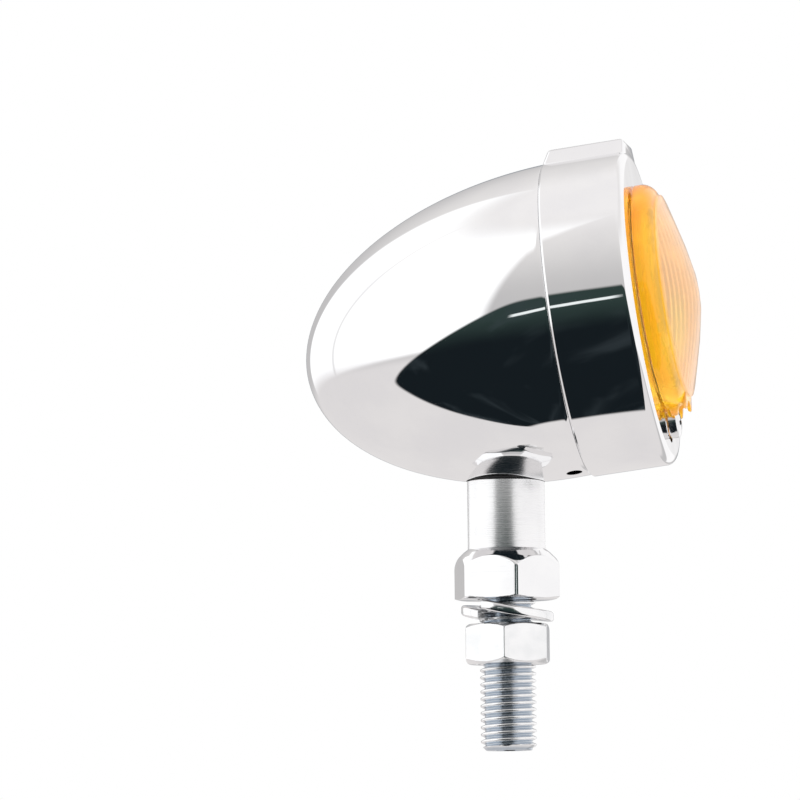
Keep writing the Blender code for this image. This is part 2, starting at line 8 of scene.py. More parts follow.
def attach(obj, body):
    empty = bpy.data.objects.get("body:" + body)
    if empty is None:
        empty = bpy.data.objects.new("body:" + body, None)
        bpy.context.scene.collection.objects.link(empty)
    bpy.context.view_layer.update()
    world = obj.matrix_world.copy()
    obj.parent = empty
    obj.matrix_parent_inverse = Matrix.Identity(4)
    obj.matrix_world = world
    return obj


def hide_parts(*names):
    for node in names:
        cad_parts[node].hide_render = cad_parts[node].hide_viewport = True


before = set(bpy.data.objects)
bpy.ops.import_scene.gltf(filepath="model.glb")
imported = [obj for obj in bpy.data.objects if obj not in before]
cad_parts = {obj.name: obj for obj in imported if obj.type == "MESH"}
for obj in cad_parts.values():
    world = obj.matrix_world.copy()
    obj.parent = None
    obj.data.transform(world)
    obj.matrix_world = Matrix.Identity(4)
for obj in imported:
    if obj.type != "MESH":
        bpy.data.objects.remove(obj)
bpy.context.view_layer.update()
mm = 0.001

# The head's own frame: Z runs forward to the lens, X down, Y to the side, and the seam is at 0.
head = {"tilt": 7.3, "seam": (11.6 * mm, 0, 49.1 * mm), "lensRise": 1.25 * mm}
headPlace = Matrix.Translation(head["seam"]) @ Matrix.Rotation(math.radians(90 - head["tilt"]), 4, "Y")
lensPlace = headPlace @ Matrix.Translation((-head["lensRise"], 0, 0))


# A socket that can be added to, multiplied and so on.
class Wire:
    def __init__(self, net, socket):
        self.net = net
        self.socket = socket

    def out(self, name):
        return Wire(self.net, self.socket.node.outputs[name])

    def __add__(self, other):
        return self.net.maths("ADD", self, other)

    def __radd__(self, other):
        return self.net.maths("ADD", other, self)

    def __sub__(self, other):
        return self.net.maths("SUBTRACT", self, other)

    def __rsub__(self, other):
        return self.net.maths("SUBTRACT", other, self)

    def __mul__(self, other):
        return self.net.maths("MULTIPLY", self, other)

    def __rmul__(self, other):
        return self.net.maths("MULTIPLY", other, self)

    def __truediv__(self, other):
        return self.net.maths("DIVIDE", self, other)


# A node tree under construction.
class Net:
    def __init__(self, tree):
        self.tree = tree
        tree.nodes.clear()

    def node(self, kind, settings=None, sockets=None):
        made = self.tree.nodes.new(kind)
        for key, value in (settings or {}).items():
            if key == "stops":
                ramp = made.color_ramp
                while len(ramp.elements) < len(value):
                    ramp.elements.new(1)
                for element, (at, colour) in zip(ramp.elements, value):
                    element.position = at
                    element.color = (*colour, 1)
            else:
                setattr(made, key, value)
        for key, value in (sockets or {}).items():
            if isinstance(value, Wire):
                self.tree.links.new(value.socket, made.inputs[key])
            else:
                made.inputs[key].default_value = value
        return Wire(self, made.outputs[0]) if made.outputs else made

    def maths(self, operation, *values, clamp=False):
        settings = {"operation": operation, "use_clamp": clamp}
        return self.node("ShaderNodeMath", settings, dict(enumerate(values)))

    def parts(self, vector, axes="XYZ"):
        split = self.node("ShaderNodeSeparateXYZ", None, {0: vector})
        return [split.out(axis) for axis in axes]

    def mix(self, share, first, second, way="MIX"):
        settings = {"data_type": "RGBA", "blend_type": way}
        return self.node("ShaderNodeMix", settings, {0: share, 6: first, 7: second}).out(2)

    def ease(self, value, low, high, start=0.0, end=1.0):
        settings = {"interpolation_type": "SMOOTHSTEP"}
        return self.node("ShaderNodeMapRange", settings, {0: value, 1: low, 2: high, 3: start, 4: end})


def newMaterial(name):
    material = bpy.data.materials.new(name)
    material.use_nodes = True
    return material, Net(material.node_tree)


def surface(net, sockets, normal=None):
    if normal is not None:
        sockets = {**sockets, "Normal": normal}
    shader = net.node("ShaderNodeBsdfPrincipled", None, sockets)
    net.node("ShaderNodeOutputMaterial", None, {"Surface": shader})


def placeOn(net, stretch=(1, 1, 1)):
    coordinates = net.node("ShaderNodeTexCoord").out("Object")
    return net.node("ShaderNodeMapping", None, {"Vector": coordinates, "Scale": stretch})


def grain(net, where, scale, detail=3.0, rough=0.5):
    return net.node("ShaderNodeTexNoise", None, {"Vector": where, "Scale": scale, "Detail": detail,
                                                  "Roughness": rough}).out("Fac")


def bump(net, height, strength, distance):
    return net.node("ShaderNodeBump", None, {"Height": height, "Strength": strength, "Distance": distance})


# Bright plating: faint cloudy smudges, fine polishing hairlines and a little waviness. A look can stay smooth
# below a level, and can have painted shade of another colour in its thread valleys, towards the axis.
def makeChrome(look):
    material, net = newMaterial(look["name"])
    where = placeOn(net)
    cloud = grain(net, where, look["cloudScale"], 4.0, 0.55)
    hair = grain(net, placeOn(net, look["hairStretch"]), look["hairScale"], 2.0)
    colour = net.mix(net.ease(cloud, 0.35, 0.7), look["bright"], look["shade"])
    if "smoothBelow" in look:
        z, = net.parts(where, "Z")
        plain = net.ease(z, look["smoothBelow"] - 0.2 * mm, look["smoothBelow"])
    if "paintedRootShade" in look:
        x, y = net.parts(where, "XY")
        reach = net.maths("SQRT", x * x + y * y)
        # Painted shade: the colour darkens from the crest to the root of the thread.
        colour = net.mix(net.ease(reach, look["crest"], look["root"]), colour, look["paintedRootShade"])
    rough = look["rough"] + look["smudge"] * net.ease(cloud, 0.45, 0.75)
    rough = rough + look["hair"] * net.ease(hair, 0.5, 0.8)
    if "smoothBelow" in look:
        rough = rough * (0.25 + 0.75 * plain)
        hair = hair * plain
    wave = grain(net, where, look["waveScale"], 1.0)
    normal = bump(net, wave + look["hairHeight"] * hair, 1.0, look["wave"])
    surface(net, {"Base Color": colour, "Roughness": rough, "Metallic": 1.0}, normal)
    return material


chrome = {
    "name": "polishedChrome", "bright": (0.95, 0.95, 0.955, 1), "shade": (0.9, 0.9, 0.915, 1),
    "rough": 0.02, "smudge": 0.025, "hair": 0.02, "cloudScale": 70.0, "hairScale": 900.0,
    "hairStretch": (0.15, 1, 1), "hairHeight": 0.02, "waveScale": 90.0, "wave": 0.00002,
}
turnedChrome = {
    "name": "turnedChrome", "bright": (0.93, 0.93, 0.935, 1), "shade": (0.9, 0.9, 0.91, 1),
    "rough": 0.26, "smudge": 0.02, "hair": 0.12, "cloudScale": 160.0, "hairScale": 500.0,
    "hairStretch": (0.03, 0.03, 12), "hairHeight": 0.7, "waveScale": 60.0, "wave": 0.00002,
    "smoothBelow": 8.9 * mm,
}
zincPlate = {
    "name": "zincPlate", "bright": (0.94, 0.94, 0.945, 1), "shade": (0.84, 0.85, 0.86, 1),
    "rough": 0.13, "smudge": 0.06, "hair": 0.05, "cloudScale": 160.0, "hairScale": 900.0,
    "hairStretch": (1, 1, 0.3), "hairHeight": 0.15, "waveScale": 420.0, "wave": 0.000015,
}
# The valley colour is painted shade in the thread roots.
threadedZinc = {
    **zincPlate, "name": "threadedZinc", "paintedRootShade": (0.52, 0.57, 0.63, 1),
    "crest": 4.75 * mm, "root": 4.2 * mm,
}
brassStrip = {
    "name": "brassStrip", "bright": (0.86, 0.68, 0.34, 1), "shade": (0.6, 0.42, 0.17, 1),
    "rough": 0.2, "smudge": 0.2, "hair": 0.1, "cloudScale": 300.0, "hairScale": 1200.0,
    "hairStretch": (0.2, 1, 1), "hairHeight": 0.3, "waveScale": 500.0, "wave": 0.00002,
}
steelWire = {
    "name": "steelWire", "bright": (0.72, 0.73, 0.75, 1), "shade": (0.45, 0.46, 0.48, 1),
    "rough": 0.22, "smudge": 0.15, "hair": 0.1, "cloudScale": 500.0, "hairScale": 2000.0,
    "hairStretch": (1, 1, 1), "hairHeight": 0.3, "waveScale": 900.0, "wave": 0.00001,
}
brightBowl = {
    "name": "brightBowl", "bright": (0.94, 0.94, 0.93, 1), "shade": (0.86, 0.86, 0.85, 1),
    "rough": 0.06, "smudge": 0.06, "hair": 0.03, "cloudScale": 120.0, "hairScale": 700.0,
    "hairStretch": (1, 1, 1), "hairHeight": 0.1, "waveScale": 250.0, "wave": 0.00005,
}


# Moulded rubber or plastic: fine grain, slightly dusty in patches.
def makeMoulded(look):
    material, net = newMaterial(look["name"])
    where = placeOn(net)
    dust = grain(net, where, look["dustScale"], 4.0, 0.6)
    fine = grain(net, where, look["grainScale"], 2.0)
    colour = net.mix(net.ease(dust, 0.45, 0.8), look["colour"], look["dusty"])
    rough = look["rough"] + 0.15 * (dust - 0.5)
    surface(net, {"Base Color": colour, "Roughness": rough}, bump(net, fine, 0.4, look["grain"]))
    return material


rubberLook = {
    "name": "blackRubber", "colour": (0.012, 0.012, 0.013, 1), "dusty": (0.035, 0.034, 0.033, 1),
    "rough": 0.6, "dustScale": 260.0, "grainScale": 3000.0, "grain": 0.00002,
}
plasticLook = {
    "name": "blackInsulator", "colour": (0.02, 0.02, 0.022, 1), "dusty": (0.05, 0.048, 0.045, 1),
    "rough": 0.38, "dustScale": 300.0, "grainScale": 2500.0, "grain": 0.00001,
}
sealLook = {
    "name": "paleSeal", "colour": (0.85, 0.82, 0.76, 1), "dusty": (0.74, 0.7, 0.63, 1),
    "rough": 0.5, "dustScale": 220.0, "grainScale": 2500.0, "grain": 0.00001,
}
lensLook = {
    # The face colour is painted paler, a painted reflection of the bright surroundings on the lens's face.
    "deep": (1.0, 0.48, 0.01, 1), "bright": (1.0, 0.66, 0.04, 1), "face": (1.0, 0.7, 0.34, 1),
    # The emission colours are a painted glow, standing in for light sent back through the lens by the
    # reflector; the spot is a brighter painted hotspot.
    "low": (1.0, 0.3, 0.004, 1), "glow": (1.0, 0.6, 0.01, 1), "pale": (1.0, 0.5, 0.2, 1), "glowStrength": 0.1,
    "paintedHotspot": (1.0, 0.85, 0.05, 1), "hotspotLevel": 46 * mm, "hotspotHeight": 9 * mm, "hotspotSide": 12 * mm,
    "hotspotWidth": 6 * mm, "rough": 0.035, "transmission": 0.72, "ior": 1.49, "streakScale": 70.0,
}


# Clear amber acrylic, paler on its face as a painted reflection and streaked in its rim band, with a faint
# painted glow by emission and a brighter painted hotspot in that glow.
def makeAmber():
    material, net = newMaterial("amberAcrylic")
    where = placeOn(net)
    flow = grain(net, placeOn(net, (1.5, 1, 0.2)), lensLook["streakScale"], 2.0)
    mist = grain(net, where, 90.0, 3.0)
    face = net.node("ShaderNodeAttribute", {"attribute_name": "face"}).out("Fac")
    band = net.ease(flow, 0.4, 0.62)
    y, z = net.parts(where, "YZ")
    paintedHotspot = net.ease(net.maths("ABSOLUTE", z - lensLook["hotspotLevel"]), lensLook["hotspotHeight"], mm)
    paintedHotspot = paintedHotspot * net.ease(net.maths("ABSOLUTE", y + lensLook["hotspotSide"]), lensLook["hotspotWidth"], mm)
    # Painted reflection: the face is coloured paler than the rim band.
    colour = net.mix(face, net.mix(band, lensLook["deep"], lensLook["bright"]), lensLook["face"])
    # Painted glow: the emission colour, with a brighter painted hotspot, stands in for light returned through
    # the lens by the reflector.
    shine = net.mix(face, net.mix(band, lensLook["low"], lensLook["glow"]), lensLook["pale"])
    shine = net.mix(paintedHotspot, shine, lensLook["paintedHotspot"])
    rough = lensLook["rough"] + 0.03 * mist + 0.08 * face
    surface(net, {"Base Color": colour, "Roughness": rough, "IOR": lensLook["ior"],
                  "Transmission Weight": lensLook["transmission"], "Emission Color": shine,
                  "Emission Strength": lensLook["glowStrength"]}, bump(net, mist, 0.2, 0.00002))
    return material


def makeClearGlass():
    material, net = newMaterial("clearGlass")
    film = grain(net, placeOn(net), 200.0, 3.0)
    colour = net.mix(film, (0.97, 0.98, 0.98, 1), (0.9, 0.93, 0.94, 1))
    surface(net, {"Base Color": colour, "Roughness": 0.01 + 0.03 * film, "IOR": 1.5,
                  "Transmission Weight": 1.0})
    return material


materials = {look["name"]: makeChrome(look)
             for look in (chrome, turnedChrome, zincPlate, threadedZinc, brassStrip, steelWire, brightBowl)}
materials.update({look["name"]: makeMoulded(look) for look in (rubberLook, plasticLook, sealLook)})
materials["amberAcrylic"] = makeAmber()
materials["clearGlass"] = makeClearGlass()
print("materials:", ", ".join(materials))


# A mesh object from a closed bmesh, with its place in its mesh and its faces outwards.
def objectFrom(name, shape, place=None):
    bmesh.ops.remove_doubles(shape, verts=shape.verts, dist=1e-7)
    bmesh.ops.recalc_face_normals(shape, faces=shape.faces)
    if place is not None:
        shape.transform(place)
    mesh = bpy.data.meshes.new(name)
    shape.to_mesh(mesh)
    shape.free()
    made = bpy.data.objects.new(name, mesh)
    bpy.context.scene.collection.objects.link(made)
    return made


# Applies the modifiers, as a plain mesh.
def flatten(made):
    graph = bpy.context.evaluated_depsgraph_get()
    mesh = bpy.data.meshes.new_from_object(made.evaluated_get(graph))
    made.modifiers.clear()
    made.data = mesh
    return made


def carve(made, tool, operation="DIFFERENCE"):
    step = made.modifiers.new("carve", "BOOLEAN")
    step.operation = operation
    step.object = tool
    flatten(made)
    bpy.data.objects.remove(tool)
    return made


def bevelled(made, width, segments):
    edge = made.modifiers.new("edge", "BEVEL")
    edge.width = width
    edge.segments = segments
    return flatten(made)


# A profile of (radius, height) or (radius, height, fillet) points, with its corners rounded.
def rounded(points, count=5):
    ends = len(points) - 1
    made = []
    for i, point in enumerate(points):
        here = Vector(point[:2])
        if len(point) < 3 or i in (0, ends):
            made.append(tuple(here))
            continue
        before = (Vector(points[i - 1][:2]) - here).normalized()
        after = (Vector(points[i + 1][:2]) - here).normalized()
        half = before.angle(after) / 2
        reach = point[2] / math.tan(half)
        centre = here + (before + after).normalized() * (point[2] / math.sin(half))
        start = here + before * reach - centre
        swing = start.angle_signed(here + after * reach - centre)
        for k in range(count + 1):
            turn = -swing * k / count
            made.append((centre.x + start.x * math.cos(turn) - start.y * math.sin(turn),
                         centre.y + start.x * math.sin(turn) + start.y * math.cos(turn)))
    return made


# A profile turned about Z. One that stays off the axis is a closed ring.
def turned(name, profile, steps, place=None, radiusAt=None):
    shape = bmesh.new()
    rows = []
    for radius, height in profile:
        if radius < 1e-7:
            rows.append([shape.verts.new((0, 0, height))])
            continue
        row = []
        for k in range(steps):
            turn = 2 * math.pi * k / steps
            reach = radiusAt(radius, turn, height) if radiusAt else radius
            row.append(shape.verts.new((reach * math.cos(turn), reach * math.sin(turn), height)))
        rows.append(row)
    ring = all(len(row) > 1 for row in rows)
    for first, second in zip(rows, rows[1:] + (rows[:1] if ring else [])):
        for k in range(steps):
            after = (k + 1) % steps
            corners = [first[k % len(first)], second[k % len(second)],
                       second[after % len(second)], first[after % len(first)]]
            corners = [v for i, v in enumerate(corners) if v not in corners[:i]]
            if len(corners) > 2:
                shape.faces.new(corners)
    return objectFrom(name, shape, place)


def bar(radius, low, high, steps=48, centre=(0, 0), place=None):
    made = turned("tool", [(0, high), (radius, high), (radius, low), (0, low)], steps)
    made.data.transform((place or Matrix()) @ Matrix.Translation((*centre, 0)))
    return made


def brick(low, high, turn=0.0, place=None):
    low, high = Vector(low), Vector(high)
    middle = Matrix.Rotation(turn, 4, "Z") @ Matrix.Translation((low + high) / 2)
    shape = bmesh.new()
    bmesh.ops.create_cube(shape, size=1, matrix=middle @ Matrix.Diagonal((*(high - low), 1)))
    return objectFrom("tool", shape, place)


# Gives a finished piece its material and its body, and hides the CAD nodes that it stands for.
def finishPiece(made, material, body, nodes, sharp=35):
    made.data.materials.clear()
    made.data.materials.append(material)
    made.data.shade_smooth()
    made.data.set_sharp_from_angle(angle=math.radians(sharp))
    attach(made, body)
    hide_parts(*nodes)
    print(made.name, len(made.data.polygons), "faces")
    return made


# The radius of a hexagon bar at each angle, with slightly rounded corners.
def hexagon(flats, turn, corner):
    def radiusAt(angle):
        side = (angle - turn - math.pi / 6) % (math.pi / 3) - math.pi / 6
        sharp = flats / 2 / math.cos(side)
        limit = flats / 2 / math.cos(math.pi / 6) - corner
        return softMin(sharp, limit, corner)
    return radiusAt


def softMin(a, b, blend):
    h = max(blend - abs(a - b), 0) / blend
    return min(a, b) - h * h * blend / 4


shell = {
    "radius": 27.6 * mm, "length": 47.36 * mm, "droop": 0.0535, "wall": 1.4 * mm, "rim": 0.8 * mm,
    "edge": 0.14 * mm, "gap": 0.02 * mm, "spigot": 26.0 * mm, "spigotReach": 2.5 * mm, "spigotWall": 0.9 * mm,
    "bossRadius": 8.7 * mm, "bossTop": 23.6 * mm, "seatRadius": 6.95 * mm, "seatLevel": 21.38 * mm,
    "studHole": 5.2 * mm, "drain": 1.4 * mm, "drainBack": 2.3 * mm, "drainTurn": -9, "rows": 60, "steps": 224,
}


# The bullet form as a solid, whose centreline droops behind the seam.
def bullet(inset, front):
    rows = shell["rows"]
    radius, length = shell["radius"] - inset, shell["length"] - inset
    curve = [(radius * math.cos(math.pi / 2 * i / rows), -length * math.sin(math.pi / 2 * i / rows))
             for i in range(1, rows)]
    made = turned("rearShell", [*front, *curve, (0, -length)], shell["steps"])
    for vertex in made.data.vertices:
        vertex.co.x -= shell["droop"] * min(vertex.co.z, 0)
    made.data.transform(headPlace)
    return made


def makeRearShell():
    edge, start, spigot = shell["edge"], -shell["gap"], shell["spigot"]
    lip = [(0, shell["spigotReach"]), (spigot, shell["spigotReach"], edge), (spigot, start),
           (shell["radius"], start, edge), (shell["radius"], -shell["rim"])]
    made = bullet(0, rounded(lip))
    inside = spigot - shell["spigotWall"]
    hollow = bullet(shell["wall"], [(0, 4 * mm), (inside, 4 * mm), (inside, -0.5 * mm)])
    carve(hollow, bar(shell["bossRadius"], 0, shell["bossTop"], 64))
    carve(made, hollow)
    carve(made, bar(shell["seatRadius"], 16 * mm, shell["seatLevel"], 128))
    carve(made, bar(shell["studHole"], 20 * mm, 25 * mm, 64))
    side = Matrix.Translation((0, 0, -shell["drainBack"]))
    side = side @ Matrix.Rotation(math.radians(shell["drainTurn"]), 4, "Z")
    carve(made, bar(shell["drain"], 20 * mm, 30 * mm, 32,
                    place=headPlace @ side @ Matrix.Rotation(math.pi / 2, 4, "Y")))
    return finishPiece(made, materials["polishedChrome"], "head", ["rear_shell"])


# The crown is the lens's face, as (radius, rise above the base) in millimetres. The lugs are (how far in, how
# far out, where each starts and where it ends above the base).
lens = {
    "radius": 20.2 * mm, "base": 15.2 * mm, "depth": 8.2 * mm, "wall": 1.8 * mm, "steps": 320,
    "crown": ((17.9, 4.15), (17.2, 4.42), (14.0, 5.35), (9.0, 6.75), (4.0, 7.85), (1.2, 8.16), (0, 8.2)),
    "earDrop": 22.0 * mm, "earRadius": 2.4 * mm, "earLow": 14.3 * mm, "earTop": 14.7 * mm, "notch": 3.3 * mm,
    "screwHole": 1.8 * mm, "ribPitch": 2.0 * mm, "ribDepth": 0.45 * mm, "ribEdge": 16.6 * mm,
    "lugs": ((2.4 * mm, 1.1 * mm, 0.03 * mm, 2.6 * mm), (2.9 * mm, 0.1 * mm, 2.75 * mm, 3.9 * mm)),
    "lugWidth": 4.1 * mm, "lugEdge": 0.3 * mm, "lugSlope": 0.3,
}
bezel = {
    "radius": 28.0 * mm, "length": 14.9 * mm, "wall": 1.7 * mm, "face": 2.0 * mm, "start": 0.02 * mm,
    "roll": 1.6 * mm, "rearStep": 0.4 * mm, "bore": 13 * mm, "window": 16.5 * mm, "steps": 224,
    "padHeight": 1.45 * mm, "padTop": 6.0 * mm, "padFoot": 8.74 * mm, "padBase": 26.4 * mm,
    "padBack": 0.3 * mm, "padEdge": 0.6 * mm, "padSlope": 0.8, "pocketDepth": 1.2 * mm,
    "pocket": 3.5 * mm, "pocketIn": 18.2 * mm,
}


# The barrel and its flat front face, with a raised pad on top and a pocket for the lens's ear.
def makeBezel():
    radius, length, start = bezel["radius"], bezel["length"], bezel["start"]
    inner = radius - bezel["wall"]
    profile = [(inner, length), (radius, length, bezel["roll"]), (radius, start + 0.35 * mm, 0.2 * mm),
               (radius - bezel["rearStep"], start, 0.1 * mm), (inner, start),
               (inner, length - bezel["face"], 0.5 * mm), (bezel["bore"], length - bezel["face"]),
               (bezel["bore"], length)]
    made = turned("frontBezel", rounded(profile, 10), bezel["steps"])
    top = -radius - bezel["padHeight"]
    pad = brick((top, -bezel["padTop"], start),
                (-bezel["padBase"], bezel["padTop"], length - bezel["padBack"]))
    for vertex in pad.data.vertices:
        if vertex.co.x < -radius and vertex.co.z < mm:
            vertex.co.z += bezel["padHeight"] * bezel["padSlope"]
        if vertex.co.x > -radius:
            vertex.co.y *= bezel["padFoot"] / bezel["padTop"]
    carve(made, bevelled(pad, bezel["padEdge"], 5), "UNION")
    lift = Matrix.Translation((-head["lensRise"], 0, 0))
    drop, floor = lens["earDrop"], length - bezel["pocketDepth"]
    carve(made, bar(bezel["window"], length / 2, length + mm, 128, place=lift))
    carve(made, bar(bezel["pocket"], floor, length + mm, 64, (drop, 0), lift))
    carve(made, brick((bezel["pocketIn"], -bezel["pocket"], floor), (drop, bezel["pocket"], length + mm),
                      place=lift))
    made.data.transform(headPlace)
    return finishPiece(made, materials["polishedChrome"], "head", ["front_bezel"])


makeRearShell()
makeBezel()


# Upright prisms over the inside of a lens: the points marked inner move along a wave.
def ribTree(material):
    tree = bpy.data.node_groups.new("lensRibs", "GeometryNodeTree")
    net = Net(tree)
    tree.interface.new_socket("Geometry", in_out="INPUT", socket_type="NodeSocketGeometry")
    for name in ("Pitch", "Depth", "Edge"):
        tree.interface.new_socket(name, in_out="INPUT", socket_type="NodeSocketFloat")
    tree.interface.new_socket("Geometry", in_out="OUTPUT", socket_type="NodeSocketGeometry")
    given = net.node("NodeGroupInput")
    position = net.node("GeometryNodeInputPosition")
    x, y = net.parts(position, "XY")
    inner = net.node("GeometryNodeInputNamedAttribute", {"data_type": "FLOAT"}, {"Name": "inner"})
    wave = net.maths("COSINE", y * (2 * math.pi) / given.out("Pitch"))
    reach = net.maths("SQRT", x * x + y * y)
    fade = net.maths("SUBTRACT", 1.0, (reach - given.out("Edge")) / (1.2 * mm) + 1.0, clamp=True)
    lift = (wave - 1.0) * given.out("Depth") * 0.5 * fade * inner
    offset = net.node("ShaderNodeCombineXYZ", None, {"Z": lift})
    moved = net.node("GeometryNodeSetPosition", None, {"Geometry": given.out("Geometry"), "Offset": offset})
    real = net.node("GeometryNodeRealizeInstances", None, {"Geometry": moved})
    done = net.node("GeometryNodeSetMaterial", None, {"Geometry": real, "Material": material})
    net.node("NodeGroupOutput", None, {"Geometry": done})
    return tree


# Runs a Geometry Nodes tree on a piece with these named inputs, and keeps the plain mesh.
def nodeStep(made, tree, values):
    step = made.modifiers.new("nodes", "NODES")
    step.node_group = tree
    for item in tree.interface.items_tree:
        if item.in_out == "INPUT" and item.name in values:
            step[item.identifier] = values[item.name]
    return flatten(made)


def arcAround(centre, radius, start, end, count):
    turns = [math.radians(start + (end - start) * i / (count - 1)) for i in range(count)]
    return [(centre[0] + radius * math.cos(t), centre[1] + radius * math.sin(t)) for t in turns]


def subdivided(points, step):
    made = [points[0]]
    for first, second in zip(points, points[1:]):
        count = max(1, round(math.dist(first, second) / step))
        made += [tuple(a + (b - a) * k / count for a, b in zip(first, second)) for k in range(1, count + 1)]
    return made


# Marks with 1 the points that a rule picks by their distance from the axis and their height.
def markPoints(made, name, rule):
    mark = made.data.attributes.new(name, "FLOAT", "POINT")
    for vertex, value in zip(made.data.vertices, mark.data):
        value.value = float(rule(math.hypot(vertex.co.x, vertex.co.y), vertex.co.z))


def makeLens():
    base, radius = lens["base"], lens["radius"]
    face = [(r * mm, base + h * mm) for r, h in lens["crown"]]
    band = arcAround((17.5 * mm, base + 0.9 * mm), 2.7 * mm, -5, 72, 14)
    outside = [(radius, base), *band, (17.95 * mm, base + 3.7 * mm), (17.9 * mm, base + 3.9 * mm), *face]
    inner = [(0, base + lens["depth"] - lens["wall"])]
    inner += [(r - 0.6 * mm, h - lens["wall"]) for r, h in reversed(face[1:-1])]
    inner = subdivided(inner, 0.35 * mm)
    inside = [*inner, (17.9 * mm, base + 1.4 * mm), (18.3 * mm, base)]
    made = turned("signalLens", [*inside, *outside], lens["steps"])
    levels = {round(h, 7) for r, h in inner}
    markPoints(made, "inner", lambda reach, z: round(z, 7) in levels and reach < lens["ribEdge"] + 0.4 * mm)
    markPoints(made, "face", lambda reach, z: reach < 17.92 * mm
               and z > base + lens["depth"] - 4.2 * mm - 0.2 * reach)
    nodeStep(made, ribTree(materials["amberAcrylic"]), {"Pitch": lens["ribPitch"], "Depth": lens["ribDepth"],
                                                         "Edge": lens["ribEdge"]})
    drop, low, top, wide = lens["earDrop"], lens["earLow"], lens["earTop"], lens["earRadius"]
    ear = turned("tool", rounded([(0, top), (wide, top, 0.2 * mm), (wide, low), (0, low)]), 48)
    ear.data.transform(Matrix.Translation((drop, 0, 0)))
    carve(ear, brick((radius - 1.7 * mm, -wide, low), (drop, wide, top)), "UNION")
    carve(ear, brick((radius - 1.7 * mm, -wide + 0.02 * mm, low + 0.02 * mm),
                     (radius - 0.1 * mm, wide - 0.02 * mm, base + 0.5 * mm)), "UNION")
    carve(made, ear, "UNION")
    for inset, reach, start, end in lens["lugs"]:
        back, front = base + start, base + end
        lug = brick((radius - inset, -lens["lugWidth"], back), (radius + reach, lens["lugWidth"], front))
        for vertex in lug.data.vertices:
            if vertex.co.x > radius:
                vertex.co.z += lens["lugSlope"] * (back + front - 2 * vertex.co.z)
        carve(made, bevelled(lug, lens["lugEdge"], 3), "UNION")
    carve(made, bar(lens["notch"], top, base + 12 * mm, 48, (drop, 0)))
    carve(made, bar(lens["screwHole"], low - mm, base + 3 * mm, 32, (drop, 0)))
    made.data.transform(lensPlace)
    return finishPiece(made, materials["amberAcrylic"], "head", ["signal_lens"], 40)


screw = {
    "lift": 0.3 * mm, "height": 2.1 * mm, "radius": 2.9 * mm, "dome": 0.9 * mm, "shoulder": 1.2 * mm,
    "edge": 0.15 * mm, "shank": 1.3 * mm, "end": 11 * mm, "crossLength": 1.55 * mm, "crossWidth": 0.38 * mm,
    "crossDepth": 1.3 * mm,
}


# A pan-head screw with a cross recess.
def makeLensScrew():
    low = lens["earTop"] + screw["lift"]
    top = low + screw["height"]
    radius, edge, shank = screw["radius"], screw["edge"], screw["shank"]
    dome = [(radius * math.sin(t), top - screw["dome"] * (1 - math.cos(t))) for t in
            (math.radians(75 * i / 12) for i in range(13))]
    profile = [*dome, (radius, top - screw["shoulder"]), (radius, low + edge), (radius - edge, low),
               (shank, low), (shank, screw["end"]), (0, screw["end"])]
    made = turned("lensScrew", profile, 64)
    length, width = screw["crossLength"], screw["crossWidth"]
    for turn in (20, 110):
        carve(made, brick((-length, -width, top - screw["crossDepth"]), (length, width, top + mm),
                          math.radians(turn)))
    made.data.transform(lensPlace @ Matrix.Translation((lens["earDrop"], 0, 0)))
    return finishPiece(made, materials["zincPlate"], "head", ["lens_screw"])


reflector = {
    "low": 11.8 * mm, "rim": 24.0 * mm, "flange": 0.8 * mm, "neck": 9.6 * mm, "spread": 6.4 * mm,
    "floor": -1.6 * mm, "wall": 0.7 * mm, "screwReach": 21.5 * mm, "screwHole": 1.25 * mm,
    "flatReach": 19.2 * mm, "flatWidth": 5 * mm, "rivetReach": 10.9 * mm, "rivetHole": 1.0 * mm,
}


# A bowl that widens as a parabola, with a flange that is cut flat on three sides.
def makeReflector():
    low, rim, floor = reflector["low"], reflector["rim"], reflector["floor"]
    bowl = [(reflector["neck"] + reflector["spread"] * math.sqrt(i / 40), floor + (low - floor) * i / 40)
            for i in range(41)]
    outer = [(r + reflector["wall"], h) for r, h in reversed(bowl)]
    flange = low + reflector["flange"]
    profile = [(rim, flange), (rim, low), *outer, *bowl, (bowl[-1][0] + 0.1 * mm, flange)]
    made = turned("reflectorBowl", profile, 128)
    for angle in (60, 180, 300):
        turn, reach = math.radians(angle), reflector["screwReach"]
        carve(made, bar(reflector["screwHole"], low - mm, low + 2 * mm, 24,
                        (reach * math.cos(turn), reach * math.sin(turn))))
    wide = reflector["flatWidth"]
    for turn in (-90, 0, 180):
        carve(made, brick((-wide, reflector["flatReach"], low - mm), (wide, 30 * mm, low + 2 * mm),
                          math.radians(turn)))
    for side in (-1, 1):
        carve(made, bar(reflector["rivetHole"], -3 * mm, 3 * mm, 24, (side * reflector["rivetReach"], 0)))
    made.data.transform(lensPlace)
    return finishPiece(made, materials["brightBowl"], "head", ["reflector"])


bulb = {"radius": 9.2 * mm, "neck": 6.5 * mm, "centre": 7.3 * mm, "low": -6 * mm, "wall": 0.5 * mm}


def makeBulbGlass():
    radius, neck, centre = bulb["radius"], bulb["neck"], bulb["centre"]

    def side(inset):
        foot = math.pi - math.asin((neck - inset) / (radius - inset))
        turns = [foot * i / 30 for i in range(31)]
        points = [((radius - inset) * math.sin(t), centre + (radius - inset) * math.cos(t)) for t in turns]
        return [*points, (neck - inset, bulb["low"])]

    made = turned("bulbEnvelope", [*side(0), *reversed(side(bulb["wall"]))], 72, lensPlace)
    return finishPiece(made, materials["clearGlass"], "bulb", ["bulb_glass"])


makeLens()
makeLensScrew()
makeReflector()
makeBulbGlass()

